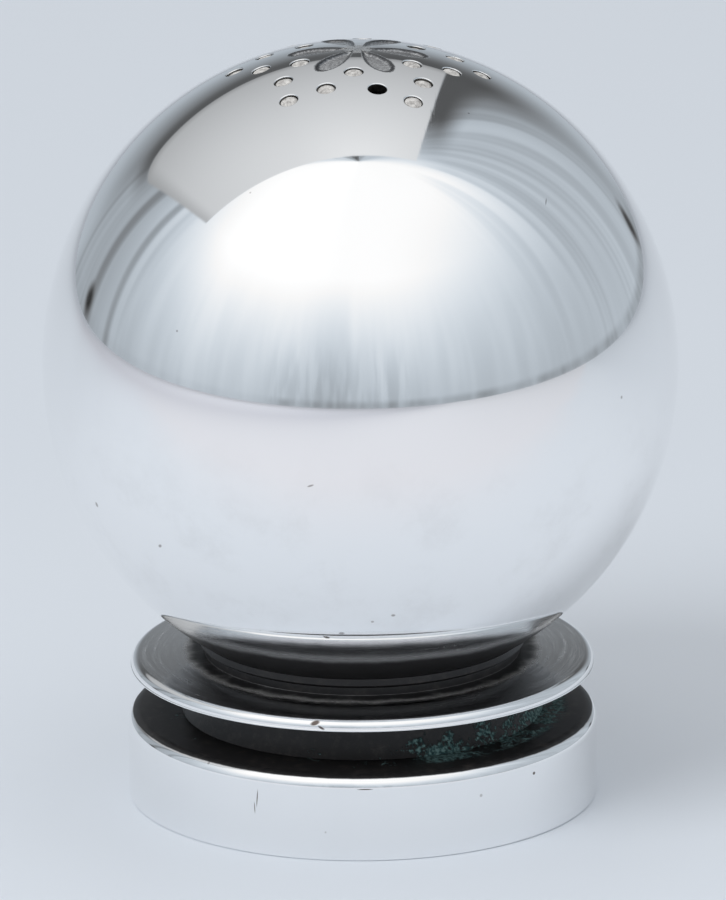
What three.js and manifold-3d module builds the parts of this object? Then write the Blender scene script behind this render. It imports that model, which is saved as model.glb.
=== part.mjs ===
// Ball pepper pot on a stepped foot, pierced and chased at the top.
// Millimetres, +Z up, the foot stands on z = 0 and the axis of every turned piece is Z.
// The ball unit screws onto the threaded spigot of the foot unit.
// Heights are stacked from the table up: foot, stem, flange, neck, ball.

import * as THREE from 'three';
import { mergeVertices } from 'three/addons/utils/BufferGeometryUtils.js';
import Module from 'manifold-3d';

// Sizes that all pieces share.
const WALL = 0.8;             // sheet thickness of the ball and the foot
const SOLDER_GAP = 0.03;      // left between two pieces that are soldered together
const EDGE = 0.2;             // chamfer on the turned edges inside
const SEGMENTS = 48;          // flats round every turned piece
const HOLE_SIDES = 16;        // flats round every hole

// Foot: a drum with a rounded shoulder, and the plate that closes it.
const FOOT_R = 18.58;
const FOOT_H = 6.87;
const SHOULDER_W = 1;         // the shoulder rounds over by this much inwards
const SHOULDER_H = 1;         // and by this much downwards
const SHOULDER_STEPS = 6;
const INNER_CORNER = 0.25;    // slope in the drum's inner corner
const STAND_EDGE = 0.15;      // chamfer outside the standing ring
const STAND_BEVEL = 0.1;      // and inside it
const BASE_RECESS = 0.5;      // the base plate lies above the standing ring
const BASE_T = 0.6;
const BASE_CLEAR = 0.05;      // the base plate is sprung in with this much room

// Stem: the waisted ring between the foot and the flange.
const STEM_H = 3.61;
const STEM_STEP = 0.5;        // its waist stands this much outside the neck
const STEM_FLARE = 0.9;       // it spreads by this much towards the foot
const STEM_WALL = 1.2;
const STEM_STEPS = 8;

// Flange: the thin plate under the ball.
const FLANGE_R = 18.36;
const FLANGE_RIM_H = 0.21;    // upright rim
const FLANGE_ROUND_W = 0.7;   // its upper edge rounds over by this much inwards
const FLANGE_ROUND_H = 0.68;  // and by this much downwards
const FLANGE_RISE = 0.21;     // the top rises by this much from the rim to the seat
const FLANGE_T = 0.75;        // thickness beside the spigot
const FLANGE_STEPS = 7;
const SEAT_H = 0.69;          // raised ring on the flange that the neck comes down to
const SEAT_STEP = 0.4;        // it stands this much inside the neck

// Neck: the short ring that shows under the ball, and the collar's tube above it.
const NECK_R = 12.9;
const NECK_H = 0.67;
const NECK_EDGE = 0.12;       // chamfer at its lower edge
const NECK_STEP = 0.85;       // the tube stands this much inside the ring
const NECK_CLEAR = 0.1;       // between the tube and the mouth of the ball
const COLLAR_WALL = 1.35;     // wall of the tube, thread depth included
const PARTING_GAP = 0.12;     // open line between the ball unit and the foot unit
const LIP_T = 0.7;            // inward lip over the seal
const SEAL_T = 0.7;
const SEAL_CLEAR = 0.05;      // above and below the cork seal

// Screw between the spigot and the collar.
const PITCH = 1.5;
const THREAD_TURNS = 2.5;
const THREAD_DEPTH = 0.45;
const THREAD_ROOT = 0.42;     // half width of the ridge where it leaves the spigot
const THREAD_CREST = 0.16;    // half width of its crest
const THREAD_SINK = 0.25;     // the ridge is let into its tube by this much
const THREAD_FIT = 0.2;       // free play between the two threads, radially
const THREAD_PLAY = 0.12;     // and along the axis, each side
const THREAD_LEAD = 0.8;      // the ridge starts this far above the seat
const RUNOUT_TURNS = 0.25;    // it grows to its full depth over this part of a turn
const RUNOUT_START = 0.12;    // share of the depth that it starts with
const CUT_BELOW = 2;          // turns that the cut thread runs on below the ridge
const CUT_ABOVE = 0.25;       // and above it
const SPIGOT_WALL = 0.9;
const SPIGOT_TIP = 0.25;      // plain end above the thread
const SPIGOT_RIM_T = 0.7;     // rim that is soldered under the flange
const SPIGOT_RIM_CLEAR = 0.6; // between that rim and the bore of the stem
const SPIGOT_FILLET = 0.4;    // in the bottom corner of the well

// Ball.
const BALL_R = 25;            // half its width
const BALL_HALF_H = 25.6;     // it stands a little taller than it is wide
const BALL_STEPS = 12;        // rings from pole to seam, outside
const BALL_INNER_STEPS = 8;   // and inside

// Pierced top: distances run along the ball from its pole.
const HOLE_D = 1.5;
const PIN_LENGTH = 4;         // length of the hole cutter in wall thicknesses
const PATTERN_TURN = -3.9;    // the whole pattern is turned by this many degrees
const INNER_ARC = 5.1;        // single holes between the petals
const MIDDLE_ARC = 7.85;      // pairs of holes beside the petal tips
const MIDDLE_SPREAD = 15;     // each stands this many degrees from its petal
const OUTER_ARC = 9.95;       // single holes beyond the petal tips
const PETALS = 6;
const PETAL_ROOT = 0.6;       // where a petal starts
const PETAL_TIP = 5.5;
const PETAL_WIDTH = 2;
const PETAL_END = 0.09;       // half width at both ends
const PETAL_SKEW = 1.45;      // over 1 the petal is widest nearer its tip
const PETAL_DEPTH = 0.15;     // chased this deep along its middle
const PETAL_SIDE_DEPTH = 0.09;
const PETAL_CUT_H = 0.4;      // the cutter stands this far out of the ball
const PETAL_STEPS = 8;

// Finishes.
const POLISHED = { color: 0xd9dadc, roughness: 0.07, metalness: 1 };
const TARNISHED = { color: 0x6e6a68, roughness: 0.35, metalness: 1 };
const WORN = { color: 0xc9c4b8, roughness: 0.3, metalness: 1 };
const DULL = { color: 0xbfc0c2, roughness: 0.25, metalness: 1 };
const CORK = { color: 0xb98a58, roughness: 0.9, metalness: 0 };

const HALF_TURN = Math.PI;
const QUARTER_TURN = Math.PI / 2;
const FULL_TURN = Math.PI * 2;
const MERGE_DISTANCE = 1e-5;

const wasm = await Module();
wasm.setup();
const group = new THREE.Group();
group.name = 'pepper_pot';

// Geometry of a closed outline of [radius, height] points, turned round Z.
// An outline that starts and ends on the axis is closed by it.
function turned(points) {
  const outline = points.map(([r, z]) => new THREE.Vector2(r, z));
  const onAxis = outline[0].x === 0 && outline[outline.length - 1].x === 0;
  if (!onAxis) outline.push(outline[0].clone());
  const geometry = new THREE.LatheGeometry(outline, SEGMENTS);
  geometry.rotateX(QUARTER_TURN);
  return geometry;
}

// Geometry of a closed solid from rings of points, one ring after the other, both ends capped.
function loft(rings) {
  const n = rings[0].length;
  const index = [];
  for (let k = 0; k + 1 < rings.length; k += 1) {
    for (let i = 0; i < n; i += 1) {
      const a = k * n + i;
      const b = k * n + (i + 1) % n;
      index.push(a, b, a + n, b, b + n, a + n);
    }
  }
  const end = (rings.length - 1) * n;
  for (let i = 1; i + 1 < n; i += 1) {
    index.push(0, i + 1, i);
    index.push(end, end + i, end + i + 1);
  }
  const geometry = new THREE.BufferGeometry();
  geometry.setAttribute('position', new THREE.Float32BufferAttribute(rings.flat(2), 3));
  geometry.setIndex(index);
  return geometry;
}

// Closed geometry to a solid that can be joined and cut.
function toSolid(geometry) {
  let merged = geometry.clone();
  merged.deleteAttribute('normal');
  merged.deleteAttribute('uv');
  merged = mergeVertices(merged, MERGE_DISTANCE);
  const index = Array.from(merged.index.array);
  const vertProperties = new Float32Array(merged.attributes.position.array);
  const triVerts = [];
  for (let i = 0; i < index.length; i += 3) {
    const [a, b, c] = [index[i], index[i + 1], index[i + 2]];
    if (a !== b && b !== c && c !== a) triVerts.push(a, b, c);
  }
  const solid = new wasm.Manifold(
    new wasm.Mesh({ numProp: 3, vertProperties, triVerts: new Uint32Array(triVerts) }));
  if (solid.volume() > 0) return solid;
  triVerts.reverse();
  return new wasm.Manifold(
    new wasm.Mesh({ numProp: 3, vertProperties, triVerts: new Uint32Array(triVerts) }));
}

// Solid back to geometry, in a named mesh with its own material.
function addPiece(name, solid, finish) {
  const mesh = solid.getMesh();
  const geometry = new THREE.BufferGeometry();
  geometry.setAttribute('position', new THREE.BufferAttribute(new Float32Array(mesh.vertProperties), 3));
  geometry.setIndex(new THREE.BufferAttribute(new Uint32Array(mesh.triVerts), 1));
  geometry.computeVertexNormals();
  const material = new THREE.MeshStandardMaterial({ ...finish });
  material.name = `${name}_finish`;
  const piece = new THREE.Mesh(geometry, material);
  piece.name = name;
  group.add(piece);
}

// Heights and radii that follow from the sizes above.
const stemBottom = FOOT_H + SOLDER_GAP;
const stemR = NECK_R + STEM_STEP;
const stemBore = stemR - STEM_WALL;
const flangeBottom = FOOT_H + STEM_H;
const stemTop = flangeBottom - SOLDER_GAP;
const flangeRimTop = flangeBottom + FLANGE_RIM_H;
const flangeTop = flangeRimTop + FLANGE_ROUND_H + FLANGE_RISE;
const seatR = NECK_R - SEAT_STEP;
const seatTop = flangeTop + SEAT_H;
const neckBottom = seatTop + PARTING_GAP;
const neckTop = neckBottom + NECK_H;
const collarR = NECK_R - NECK_STEP;
const collarBore = collarR - COLLAR_WALL;
const spigotR = collarBore - THREAD_FIT;
const spigotBore = spigotR - SPIGOT_WALL;
const threadStart = seatTop + THREAD_LEAD;
const spigotTop = threadStart + THREAD_TURNS * PITCH + THREAD_ROOT + SPIGOT_TIP;
const sealBottom = spigotTop + SEAL_CLEAR;
const sealTop = sealBottom + SEAL_T;
const lipBottom = sealTop + SEAL_CLEAR;
const collarTop = lipBottom + LIP_T;
const mouthZ = neckTop + SOLDER_GAP;
const mouthR = collarR + NECK_CLEAR;
const ballZ = mouthZ + BALL_HALF_H * Math.sqrt(1 - (NECK_R / BALL_R) ** 2);
const seamGap = SOLDER_GAP / 2;

// Point of the ball's surface, or of a surface `inset` inside it, at an angle from the top pole.
function ballPoint(polar, inset = 0) {
  return [(BALL_R - inset) * Math.sin(polar), ballZ + (BALL_HALF_H - inset) * Math.cos(polar)];
}

// Stretch of the ball's outline between two such angles.
function ballArc(from, to, steps, inset = 0) {
  const points = [];
  for (let i = 0; i <= steps; i += 1) points.push(ballPoint(from + (to - from) * i / steps, inset));
  return points;
}

// Angle at which the lower half of that surface has a given radius.
function lowerPolar(radius, inset = 0) {
  return HALF_TURN - Math.asin(radius / (BALL_R - inset));
}

// Place on the ball from a distance along it and an angle from the front (-Y) towards +X.
function onBall(arc, degrees, inset = 0) {
  const [r, z] = ballPoint(arc / BALL_R, inset);
  const angle = THREE.MathUtils.degToRad(degrees);
  return new THREE.Vector3(r * Math.sin(angle), -r * Math.cos(angle), z);
}

// Direction that points straight out of the ball at that place.
function outward(arc, degrees) {
  const p = onBall(arc, degrees);
  return new THREE.Vector3(p.x / BALL_R ** 2, p.y / BALL_R ** 2, (p.z - ballZ) / BALL_HALF_H ** 2)
    .normalize();
}

// Cutter for one hole, square to the ball.
function holeCutter(arc, degrees) {
  const pin = new THREE.CylinderGeometry(HOLE_D / 2, HOLE_D / 2, WALL * PIN_LENGTH, HOLE_SIDES);
  const along = new THREE.Vector3(0, 1, 0);
  pin.applyQuaternion(new THREE.Quaternion().setFromUnitVectors(along, outward(arc, degrees)));
  const middle = onBall(arc, degrees, WALL / 2);
  pin.translate(middle.x, middle.y, middle.z);
  return toSolid(pin);
}

// Cutter for one chased petal: a drop-shaped recess that follows the ball.
function petalCutter(degrees) {
  const rings = [];
  for (let k = 0; k <= PETAL_STEPS; k += 1) {
    const t = k / PETAL_STEPS;
    const arc = PETAL_ROOT + (PETAL_TIP - PETAL_ROOT) * t;
    const half = PETAL_END + (PETAL_WIDTH / 2 - PETAL_END) * Math.sin(HALF_TURN * t ** PETAL_SKEW);
    const swing = THREE.MathUtils.radToDeg(half / arc);
    const ring = [
      onBall(arc, degrees - swing, PETAL_SIDE_DEPTH),
      onBall(arc, degrees, PETAL_DEPTH),
      onBall(arc, degrees + swing, PETAL_SIDE_DEPTH),
      onBall(arc, degrees + swing, -PETAL_CUT_H),
      onBall(arc, degrees, -PETAL_CUT_H),
      onBall(arc, degrees - swing, -PETAL_CUT_H),
    ];
    rings.push(ring.map((p) => p.toArray()));
  }
  return toSolid(loft(rings));
}

// Upper half of the ball, from the pole out to the seam and back inside.
const upperOutline = [
  ...ballArc(0, QUARTER_TURN, BALL_STEPS),
  ...ballArc(QUARTER_TURN, 0, BALL_INNER_STEPS, WALL),
].map(([r, z]) => [r, Math.max(z, ballZ + seamGap)]);
let upperShell = toSolid(turned(upperOutline));
const sector = 360 / PETALS;
for (let i = 0; i < PETALS; i += 1) {
  const between = PATTERN_TURN + sector * i;
  const petal = between + sector / 2;
  upperShell = upperShell
    .subtract(holeCutter(INNER_ARC, between))
    .subtract(holeCutter(MIDDLE_ARC, petal - MIDDLE_SPREAD))
    .subtract(holeCutter(MIDDLE_ARC, petal + MIDDLE_SPREAD))
    .subtract(holeCutter(OUTER_ARC, petal))
    .subtract(petalCutter(petal));
}
addPiece('ball_upper_shell', upperShell, POLISHED);

// Lower half of the ball, open at the mouth that the collar fills.
const lowerOutline = [
  ...ballArc(QUARTER_TURN, lowerPolar(NECK_R), BALL_STEPS),
  [mouthR, mouthZ],
  ...ballArc(lowerPolar(mouthR, WALL), QUARTER_TURN, BALL_INNER_STEPS, WALL),
].map(([r, z]) => [r, Math.min(z, ballZ - seamGap)]);
addPiece('ball_lower_shell', toSolid(turned(lowerOutline)), POLISHED);

// Ridge wound round Z on a tube of radius `inner`, `play` wider than the real one on each side.
function helixRidge(inner, outer, play, startZ, turns) {
  const steps = Math.round(SEGMENTS * turns);
  const rootHalf = THREAD_ROOT + play;
  const crestHalf = THREAD_CREST + play;
  const rings = [];
  for (let k = 0; k <= steps; k += 1) {
    const angle = k / SEGMENTS * FULL_TURN;
    const middleZ = startZ + PITCH * k / SEGMENTS;
    const fromEnd = Math.min(k, steps - k) / SEGMENTS / RUNOUT_TURNS;
    const crest = inner + (outer - inner) * Math.min(1, RUNOUT_START + (1 - RUNOUT_START) * fromEnd);
    const at = (r, dz) => [r * Math.sin(angle), -r * Math.cos(angle), middleZ + dz];
    rings.push([
      at(inner - THREAD_SINK, -rootHalf), at(inner, -rootHalf), at(crest, -crestHalf),
      at(crest, crestHalf), at(inner, rootHalf), at(inner - THREAD_SINK, rootHalf),
    ]);
  }
  return toSolid(loft(rings));
}

// Spigot: a tube closed below, with a rim that is soldered under the flange.
const wellBottom = flangeTop - FLANGE_T - SOLDER_GAP;
const spigotRimR = stemBore - SPIGOT_RIM_CLEAR;
const spigotOutline = [
  [0, wellBottom - SPIGOT_RIM_T],
  [spigotRimR, wellBottom - SPIGOT_RIM_T],
  [spigotRimR, wellBottom],
  [spigotR, wellBottom],
  [spigotR, spigotTop - EDGE],
  [spigotR - EDGE, spigotTop],
  [spigotBore + EDGE, spigotTop],
  [spigotBore, spigotTop - EDGE],
  [spigotBore, wellBottom + SPIGOT_FILLET],
  [spigotBore - SPIGOT_FILLET, wellBottom],
  [0, wellBottom],
];
const ridge = helixRidge(spigotR, spigotR + THREAD_DEPTH, 0, threadStart, THREAD_TURNS);
addPiece('threaded_spigot', toSolid(turned(spigotOutline)).add(ridge), WORN);

// Collar: the short ring under the ball, the tube inside it and the lip over the seal.
const collarOutline = [
  [collarBore + EDGE, neckBottom],
  [NECK_R - NECK_EDGE, neckBottom],
  [NECK_R, neckBottom + NECK_EDGE],
  [NECK_R, neckTop],
  [collarR, neckTop],
  [collarR, collarTop - EDGE],
  [collarR - EDGE, collarTop],
  [spigotBore, collarTop],
  [spigotBore, lipBottom],
  [collarBore, lipBottom],
  [collarBore, neckBottom + EDGE],
];
const threadCut = helixRidge(
  collarBore, collarBore + THREAD_DEPTH, THREAD_PLAY,
  threadStart - CUT_BELOW * PITCH, CUT_BELOW + THREAD_TURNS + CUT_ABOVE);
addPiece('threaded_collar', toSolid(turned(collarOutline)).subtract(threadCut), WORN);

// Cork seal between the end of the spigot and the lip of the collar.
const sealOutline = [
  [spigotBore, sealBottom],
  [spigotR, sealBottom],
  [spigotR, sealTop],
  [spigotBore, sealTop],
];
addPiece('cork_seal', toSolid(turned(sealOutline)), CORK);

// Flange: upright rim with a rounded edge, then a low cone up to the seat; dished below round the spigot.
const flangeBore = spigotR + SOLDER_GAP;
const flangeSlope = FLANGE_RISE / (FLANGE_R - seatR);
const brim = [];
for (let i = 0; i <= FLANGE_STEPS; i += 1) {
  const a = QUARTER_TURN * i / FLANGE_STEPS;
  const inwards = FLANGE_ROUND_W * (1 - Math.cos(a));
  brim.push([FLANGE_R - inwards, flangeRimTop + FLANGE_ROUND_H * Math.sin(a) + flangeSlope * inwards]);
}
const flangeOutline = [
  [flangeBore, flangeTop - FLANGE_T],
  [stemBore, flangeTop - FLANGE_T],
  [stemR, flangeBottom],
  [FLANGE_R, flangeBottom],
  ...brim,
  [seatR, flangeTop],
  [seatR, seatTop],
  [flangeBore, seatTop],
];
addPiece('flange', toSolid(turned(flangeOutline)), POLISHED);

// Stem: a waisted ring between the flange and the foot.
const waist = [];
for (let i = 0; i <= STEM_STEPS; i += 1) {
  const t = i / STEM_STEPS;
  waist.push([stemR + STEM_FLARE * (1 - t) ** 3, stemBottom + (stemTop - stemBottom) * t]);
}
const stemOutline = [[stemBore, stemBottom], ...waist, [stemBore, stemTop]];
addPiece('lower_stem', toSolid(turned(stemOutline)), TARNISHED);

// Foot shell: a drum with a rounded shoulder, open below.
const shoulder = [];
for (let i = 0; i <= SHOULDER_STEPS; i += 1) {
  const a = QUARTER_TURN * i / SHOULDER_STEPS;
  shoulder.push([
    FOOT_R - SHOULDER_W + SHOULDER_W * Math.cos(a),
    FOOT_H - SHOULDER_H + SHOULDER_H * Math.sin(a),
  ]);
}
const footBore = FOOT_R - WALL;
const footOutline = [
  [footBore + STAND_BEVEL, 0],
  [FOOT_R - STAND_EDGE, 0],
  [FOOT_R, STAND_EDGE],
  ...shoulder,
  [stemBore, FOOT_H],
  [stemBore, FOOT_H - WALL],
  [footBore - INNER_CORNER, FOOT_H - WALL],
  [footBore, FOOT_H - WALL - INNER_CORNER],
  [footBore, STAND_BEVEL],
];
addPiece('foot_shell', toSolid(turned(footOutline)), POLISHED);

// Base plate: sprung into the foot from below, above the standing ring.
const baseR = footBore - BASE_CLEAR;
const baseOutline = [
  [0, BASE_RECESS],
  [baseR, BASE_RECESS],
  [baseR, BASE_RECESS + BASE_T],
  [0, BASE_RECESS + BASE_T],
];
addPiece('base_plate', toSolid(turned(baseOutline)), DULL);

export default group;
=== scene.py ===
# %% [markdown]
# # A ball-shaped pepper pot in silver plate
# The pot is a hollow ball, pierced at the top round a chased flower, that screws onto a stepped foot.
# Nearly everything on it is turned and polished like a mirror, so what one sees is mostly the studio:
# the table below, a white tent in front, and a grey card held over and behind it. The lesson loads the
# fixed frame first, then the camera and the studio, then the finishes, and then each piece in turn.

# %% Load the fixed frame
import functools
import math

import bmesh
import bpy
import numpy as np
from mathutils import Matrix, Vector
from mathutils.geometry import delaunay_2d_cdt


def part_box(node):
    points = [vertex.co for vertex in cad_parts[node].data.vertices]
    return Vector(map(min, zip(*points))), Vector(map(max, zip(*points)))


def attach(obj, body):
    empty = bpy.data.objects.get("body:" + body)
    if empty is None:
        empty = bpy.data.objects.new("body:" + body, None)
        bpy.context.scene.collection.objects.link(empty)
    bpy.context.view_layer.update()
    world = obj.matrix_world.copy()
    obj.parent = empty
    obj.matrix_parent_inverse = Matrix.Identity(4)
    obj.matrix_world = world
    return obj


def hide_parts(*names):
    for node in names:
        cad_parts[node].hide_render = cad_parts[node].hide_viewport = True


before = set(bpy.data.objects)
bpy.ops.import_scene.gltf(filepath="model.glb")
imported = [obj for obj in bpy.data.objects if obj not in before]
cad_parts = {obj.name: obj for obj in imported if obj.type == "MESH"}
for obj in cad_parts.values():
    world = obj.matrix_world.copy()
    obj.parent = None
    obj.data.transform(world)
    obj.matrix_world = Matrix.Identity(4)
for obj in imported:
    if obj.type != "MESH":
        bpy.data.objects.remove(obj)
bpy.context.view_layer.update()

MM = 0.001
print("nodes:", sorted(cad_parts))


# %% [markdown]
# Every size that the frame knows is read from it, so that the polished pieces made here lie exactly
# where the solids are. For a turned piece that is its widest radius and its two heights.

# %% Read radii and heights
def radius_and_heights(node):
    """Widest radius, lowest height and highest height of a turned node."""
    low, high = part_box(node)
    return high.x, low.z, high.z


ball_r, seam_above, pole_z = radius_and_heights("ball_upper_shell")
_, _, seam_below = radius_and_heights("ball_lower_shell")
neck_r, neck_low, collar_top = radius_and_heights("threaded_collar")
rim_r, spigot_low, spigot_top = radius_and_heights("threaded_spigot")
seal_r, seal_low, seal_top = radius_and_heights("cork_seal")
flange_r, flange_low, flange_top = radius_and_heights("flange")
_, stem_low, stem_top = radius_and_heights("lower_stem")
foot_r, _, foot_top = radius_and_heights("foot_shell")
base_r, base_low, base_top = radius_and_heights("base_plate")
ball_z = (seam_above + seam_below) / 2
ball_half_h = pole_z - ball_z
print(f"ball {ball_r / MM:.2f} x {ball_half_h / MM:.2f} mm round z {ball_z / MM:.2f} mm")

# %% [markdown]
# The camera stands almost a metre away with a long lens and looks down at the pot by about 17 degrees.
# Its three axes are written as the columns of a matrix, which says more plainly than Euler angles
# where it looks and by how much it leans.

# %% Place the camera
CAMERA_AT = Vector((-0.00066, -0.9, 0.29592))
CAMERA_PITCH = math.radians(16.582)
CAMERA_YAW = math.radians(0.053)
CAMERA_ROLL = math.radians(-0.404)
FRAME_HEIGHT = 36
FOCAL_LENGTH = 476.8

camera_data = bpy.data.cameras.new("camera")
camera_data.sensor_fit = "VERTICAL"
camera_data.sensor_height = FRAME_HEIGHT
camera_data.lens = FOCAL_LENGTH
camera_data.clip_start = 0.05
camera = bpy.data.objects.new("camera", camera_data)
bpy.context.scene.collection.objects.link(camera)
forward = Vector((math.sin(CAMERA_YAW) * math.cos(CAMERA_PITCH),
                  math.cos(CAMERA_YAW) * math.cos(CAMERA_PITCH), -math.sin(CAMERA_PITCH)))
level_right = forward.cross(Vector((0, 0, 1))).normalized()
level_up = level_right.cross(forward)
right = level_right * math.cos(CAMERA_ROLL) + level_up * math.sin(CAMERA_ROLL)
up = level_up * math.cos(CAMERA_ROLL) - level_right * math.sin(CAMERA_ROLL)
camera.matrix_world = Matrix((right, up, -forward)).transposed().to_4x4()
camera.matrix_world.translation = CAMERA_AT
bpy.context.scene.camera = camera
bpy.context.scene.view_settings.view_transform = "Standard"
print("camera looks along", tuple(round(c, 3) for c in forward))

# %% [markdown]
# Shader trees get long when each node takes three lines. A few small helpers keep them readable: they
# add a node, set or link a socket, and go softly from one value to another. `Value` wraps the output
# of a node, so that plain arithmetic such as `light * (1 - shade)` makes the Math nodes by itself.

# %% Helpers for node trees
class Value:
    """Output of a node. Arithmetic with it adds Math nodes to its tree."""

    def __init__(self, socket):
        self.socket = socket
        self.tree = socket.id_data

    def __add__(self, other):
        return calc("ADD", self, other)

    def __radd__(self, other):
        return calc("ADD", other, self)

    def __mul__(self, other):
        return calc("MULTIPLY", self, other)

    def __sub__(self, other):
        return calc("SUBTRACT", self, other)

    def __rsub__(self, other):
        return calc("SUBTRACT", other, self)

    def __truediv__(self, other):
        return calc("DIVIDE", self, other)

    def __pow__(self, other):
        return calc("POWER", self, other)


def add(tree, kind, inputs=None, **settings):
    """New node of a kind, with its own settings and with values or outputs fed to its inputs."""
    node = tree.nodes.new(kind)
    for name, value in settings.items():
        setattr(node, name, value)
    for name, value in (inputs or {}).items():
        feed(node.inputs[name], value)
    return node


def feed(socket, value):
    """Links another node's output to a socket, or sets the socket to a plain value."""
    if isinstance(value, Value):
        value = value.socket
    if isinstance(value, bpy.types.NodeSocket):
        socket.id_data.links.new(value, socket)
    else:
        socket.default_value = value


def tree_of(values):
    """Tree that the first node output among several values belongs to."""
    return next(value.tree for value in values if isinstance(value, Value))


def calc(operation, *values):
    """One step of arithmetic on numbers."""
    node = add(tree_of(values), "ShaderNodeMath", dict(enumerate(values)), operation=operation)
    return Value(node.outputs[0])


def map_range(kind, value, low, high, start, end):
    """Goes from start to end while the value goes from low to high."""
    limits = {"Value": value, "From Min": low, "From Max": high, "To Min": start, "To Max": end}
    return Value(add(value.tree, "ShaderNodeMapRange", limits, interpolation_type=kind).outputs[0])


def step(value, low, high, start=0.0, end=1.0):
    """Goes softly from start to end while the value goes from low to high."""
    return map_range("SMOOTHSTEP", value, low, high, start, end)


def ramp(value, low, high, start=0.0, end=1.0):
    """Goes straight from start to end while the value goes from low to high."""
    return map_range("LINEAR", value, low, high, start, end)


def between(share, first, second):
    """Number between two others, by a share from 0 to 1."""
    return ramp(share, 0.0, 1.0, first, second)


def blend(share, first, second):
    """Mixes two colours."""
    node = add(share.tree, "ShaderNodeMix", data_type="RGBA")
    for place, value in ((0, share), (6, first), (7, second)):
        feed(node.inputs[place], value)
    return Value(node.outputs[2])


def noise(vector, scale, detail=3.0, roughness=0.55):
    """Noise value from 0 to 1 at a place."""
    given = {"Vector": vector, "Scale": scale, "Detail": detail, "Roughness": roughness}
    return Value(add(vector.tree, "ShaderNodeTexNoise", given).outputs["Fac"])


def split(vector):
    """The three parts of a vector."""
    return [Value(part) for part in add(vector.tree, "ShaderNodeSeparateXYZ", {0: vector}).outputs]


def combine(*parts):
    """Vector made of up to three numbers."""
    return Value(add(tree_of(parts), "ShaderNodeCombineXYZ", dict(enumerate(parts))).outputs[0])


def values_of(node):
    """All outputs of a node by name."""
    return {socket.name: Value(socket) for socket in node.outputs}


print("helpers ready")

# %% [markdown]
# A mirror needs something to mirror. The studio is written into the world by direction, which costs
# nothing and stands in no camera's way. Only glossy rays see it: other rays meet one plain white level,
# so a colour renders about as it is written. The card over the pot is a flat quadrilateral, and seen
# from the pot each straight edge of it lies in a plane through the middle. One dot product per edge
# tells on which side a direction is, and one corner of the card is bent round.

# %% Start the world and find out each direction
CARD_EDGES = {
    "front": (-0.049, 0.998, -0.045),
    "right": (-0.956, 0.093, 0.278),
    "left": (0.648, 0.247, 0.720),
    "back": (0.0, -0.431, 0.902),
}
CARD_CORNER = 0.12
PLAIN_LIGHT = (0.78, 0.78, 0.78, 1)
SEEN_COLOUR = (0.66, 0.71, 0.78, 1)

world = bpy.data.worlds.new("studio")
bpy.context.scene.world = world
world.use_nodes = True
sky = world.node_tree
sky.nodes.clear()
direction = Value(add(sky, "ShaderNodeTexCoord").outputs["Generated"])
rightwards, backwards, upwards = split(direction)
elevation = calc("ARCSINE", upwards) * math.degrees(1)
toward_camera = backwards * -1.0
azimuth = calc("ARCTAN2", rightwards, toward_camera) * math.degrees(1)


def side_of(edge):
    """How far a direction lies inside one edge of the card."""
    node = add(sky, "ShaderNodeVectorMath", {0: direction, 1: CARD_EDGES[edge]}, operation="DOT_PRODUCT")
    return Value(node.outputs["Value"])


inside = {edge: side_of(edge) for edge in CARD_EDGES}
missing = [calc("MAXIMUM", CARD_CORNER - inside[edge], 0.0) for edge in ("left", "back")]
from_corner = calc("SQRT", missing[0] ** 2.0 + missing[1] ** 2.0)
bent = CARD_CORNER - from_corner
card = step(inside["front"], -0.004, 0.004) * step(inside["right"], -0.004, 0.004)
card = card * step(bent, -0.008, 0.008)


def folds(across, along, seed):
    """Soft hanging folds of cloth: noise that is fine across and drawn out along its length."""
    place = combine(azimuth * across, elevation * along, seed)
    return noise(place, 1.0, 2.0)


print("card has", len(CARD_EDGES), "edges")

# %% [markdown]
# The tent is white high up in front. It gets greyer and bluer to the sides and towards the table, and
# its cloth hangs in folds there. Where it stands on the table there is a thin dark seam with a knot at
# each end. Behind the pot the table itself sweeps up, and darkens in the shade of the card.

# %% Build the tent
front_light = ramp(elevation, 0, 44, 0.58, 1.06)
front_light = front_light * step(azimuth, -5, -40, 1.0, 1.06)
side_light = between(step(elevation, 22, 72), ramp(elevation, 0, 30, 0.52, 0.64), 1.04)
to_right = step(azimuth, 5, 90)
to_left = step(azimuth, -62, -104)
light = between(calc("MAXIMUM", to_right, to_left), front_light, side_light)
light = between(step(azimuth, 84, 118), light, 0.57)
light = between(step(azimuth, 136, 152), light, 0.38)
light = between(step(azimuth, -100, -124), light, 0.43)

hanging = folds(0.11, 0.004, 3.0)
right_folds = step(azimuth, 60, 100) * step(elevation, 78, 62)
left_folds = step(azimuth, -90, -108) * step(azimuth, -150, -135, 0.0, 1.7)
deep = calc("MAXIMUM", right_folds, left_folds) * step(hanging, 0.34, 0.56, 0.26, 0.0)
shallow = step(folds(0.1, 0.012, 8.0), 0.35, 0.65, 0.1, 0.0) * step(elevation, 44, 8)
light = light * (1.0 - calc("MAXIMUM", deep, shallow))

gap = step(azimuth, -26, -9) * step(azimuth, -2, -6)
gap = gap * step(elevation, 50, 2, 0.0, 0.14)
light = light * (1.0 - gap)
seam_line = step(elevation, 2.6, 0.2) * step(azimuth, -36, -28, 0.2, 1.0)
seam_line = seam_line * step(folds(0.12, 0.0, 5.0), 0.3, 0.7, 0.1, 0.38)
light = light * (1.0 - seam_line)


def spot(at_azimuth, at_elevation, reach):
    """Soft round spot at a direction, 1 in its middle."""
    aside = ((azimuth - at_azimuth) / reach) ** 2.0
    over = ((elevation - at_elevation) / reach) ** 2.0
    return step(calc("SQRT", aside + over), 1.0, 0.2)


knots = calc("MAXIMUM", spot(-123, 2.5, 4.0), spot(146, 2.5, 4.0))
light = light * (1.0 - knots * 0.85)

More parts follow.
